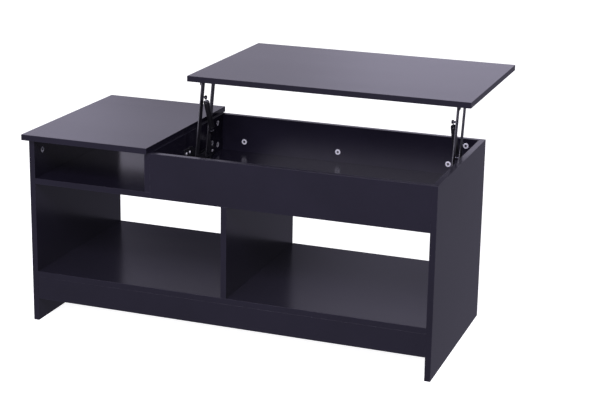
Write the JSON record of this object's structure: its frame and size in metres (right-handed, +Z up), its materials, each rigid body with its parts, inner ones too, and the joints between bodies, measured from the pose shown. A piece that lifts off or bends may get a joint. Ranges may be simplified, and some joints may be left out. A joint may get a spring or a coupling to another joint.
{
  "type": "lift top coffee table",
  "caption": "Low board cabinet with an open cubby, two open bays below, and a top that rises back on folding arms over a storage compartment.",
  "frame": {"origin": "on the floor, at the middle of the footprint that the table takes with its top raised", "axes": "+Z up, +X along the width from the open cubby to the lift top, +Y from the open front to the back, the way the top moves as it rises"},
  "size_m": [1.1, 0.74, 0.636],
  "materials": {
    "black_board": "black melamine board with a faint violet cast, satin",
    "black_steel": "black stamped steel, satin",
    "bright_zinc": "bright zinc plate"
  },
  "bodies": {
    "cabinet": {"left_side_panel": "black_board", "right_side_panel": "black_board", "fixed_top": "black_board", "front_apron": "black_board", "back_panel": "black_board", "middle_shelf": "black_board", "upper_divider": "black_board", "centre_divider": "black_board", "bottom_shelf": "black_board", "front_plinth": "black_board", "rear_plinth": "black_board", "cam_lock_back_1": "bright_zinc", "cam_lock_back_2": "bright_zinc", "cam_lock_back_3": "bright_zinc", "cam_lock_back_4": "bright_zinc", "cam_lock_divider_upper": "bright_zinc", "cam_lock_divider_lower": "bright_zinc", "cam_lock_divider_shelf": "bright_zinc", "cam_lock_left_side": "bright_zinc", "left_base_bracket": "black_steel", "left_front_base_rivet": "black_steel", "left_rear_base_rivet": "black_steel", "left_base_screw_1": "bright_zinc", "left_base_screw_2": "bright_zinc", "left_base_screw_3": "bright_zinc", "left_base_screw_4": "bright_zinc", "right_base_bracket": "black_steel", "right_front_base_rivet": "black_steel", "right_rear_base_rivet": "black_steel", "right_base_screw_1": "bright_zinc", "right_base_screw_2": "bright_zinc", "right_base_screw_3": "bright_zinc", "right_base_screw_4": "bright_zinc"},
    "lift_top": {"lift_top": "black_board", "left_top_bracket": "black_steel", "left_front_top_rivet": "black_steel", "left_rear_top_rivet": "black_steel", "left_top_screw_1": "bright_zinc", "left_top_screw_2": "bright_zinc", "left_top_screw_3": "bright_zinc", "right_top_bracket": "black_steel", "right_front_top_rivet": "black_steel", "right_rear_top_rivet": "black_steel", "right_top_screw_1": "bright_zinc", "right_top_screw_2": "bright_zinc", "right_top_screw_3": "bright_zinc"},
    "left_front_arm": {"left_front_arm": "black_steel", "left_strut_upper_pin": "black_steel"},
    "left_rear_arm": {"left_rear_arm": "black_steel", "left_strut_lower_pin": "black_steel"},
    "left_strut_tube": {"left_strut_tube": "black_steel"},
    "left_strut_rod": {"left_strut_rod": "black_steel"},
    "right_front_arm": {"right_front_arm": "black_steel", "right_strut_upper_pin": "black_steel"},
    "right_rear_arm": {"right_rear_arm": "black_steel", "right_strut_lower_pin": "black_steel"},
    "right_strut_tube": {"right_strut_tube": "black_steel"},
    "right_strut_rod": {"right_strut_rod": "black_steel"}
  },
  "joints": [
    {"name": "left_front_arm_swing", "type": "hinge", "parent": "cabinet", "child": "left_front_arm", "pos_m": [-0.18075, -0.111, 0.4044], "axis": [1, 0, 0], "range_deg": [0, 82.95]},
    {"name": "lift_top_level", "type": "hinge", "parent": "left_front_arm", "child": "lift_top", "pos_m": [-0.18075, -0.06776, 0.60786], "axis": [1, 0, 0], "range_deg": [-82.96, 0]},
    {"name": "left_rear_arm_swing", "type": "hinge", "parent": "cabinet", "child": "left_rear_arm", "pos_m": [-0.18075, -0.041, 0.4044], "axis": [1, 0, 0], "range_deg": [0, 82.96]},
    {"name": "right_front_arm_swing", "type": "hinge", "parent": "cabinet", "child": "right_front_arm", "pos_m": [0.50375, -0.111, 0.4044], "axis": [1, 0, 0], "range_deg": [0, 82.96]},
    {"name": "right_rear_arm_swing", "type": "hinge", "parent": "cabinet", "child": "right_rear_arm", "pos_m": [0.50375, -0.041, 0.4044], "axis": [1, 0, 0], "range_deg": [0, 82.96]},
    {"name": "left_strut_tube_turn", "type": "hinge", "parent": "left_front_arm", "child": "left_strut_tube", "pos_m": [-0.171, -0.07566, 0.57069], "axis": [1, 0, 0], "range_deg": [-28.72, 0]},
    {"name": "left_strut_rod_turn", "type": "hinge", "parent": "left_rear_arm", "child": "left_strut_rod", "pos_m": [-0.171, -0.02749, 0.46798], "axis": [1, 0, 0], "range_deg": [-28.72, 0]},
    {"name": "right_strut_tube_turn", "type": "hinge", "parent": "right_front_arm", "child": "right_strut_tube", "pos_m": [0.494, -0.07566, 0.57069], "axis": [1, 0, 0], "range_deg": [-28.72, 0]},
    {"name": "right_strut_rod_turn", "type": "hinge", "parent": "right_rear_arm", "child": "right_strut_rod", "pos_m": [0.494, -0.02749, 0.46798], "axis": [1, 0, 0], "range_deg": [-28.72, 0]}
  ],
  "couplings": [
    {"joint": "lift_top_level", "follows": "left_front_arm_swing", "ratio": -1},
    {"joint": "left_rear_arm_swing", "follows": "left_front_arm_swing", "ratio": 1},
    {"joint": "right_front_arm_swing", "follows": "left_front_arm_swing", "ratio": 1},
    {"joint": "right_rear_arm_swing", "follows": "left_front_arm_swing", "ratio": 1},
    {"joint": "left_strut_tube_turn", "follows": "left_front_arm_swing", "ratio": -0.3461},
    {"joint": "left_strut_rod_turn", "follows": "left_front_arm_swing", "ratio": -0.3461},
    {"joint": "right_strut_tube_turn", "follows": "left_front_arm_swing", "ratio": -0.3461},
    {"joint": "right_strut_rod_turn", "follows": "left_front_arm_swing", "ratio": -0.3461}
  ]
}
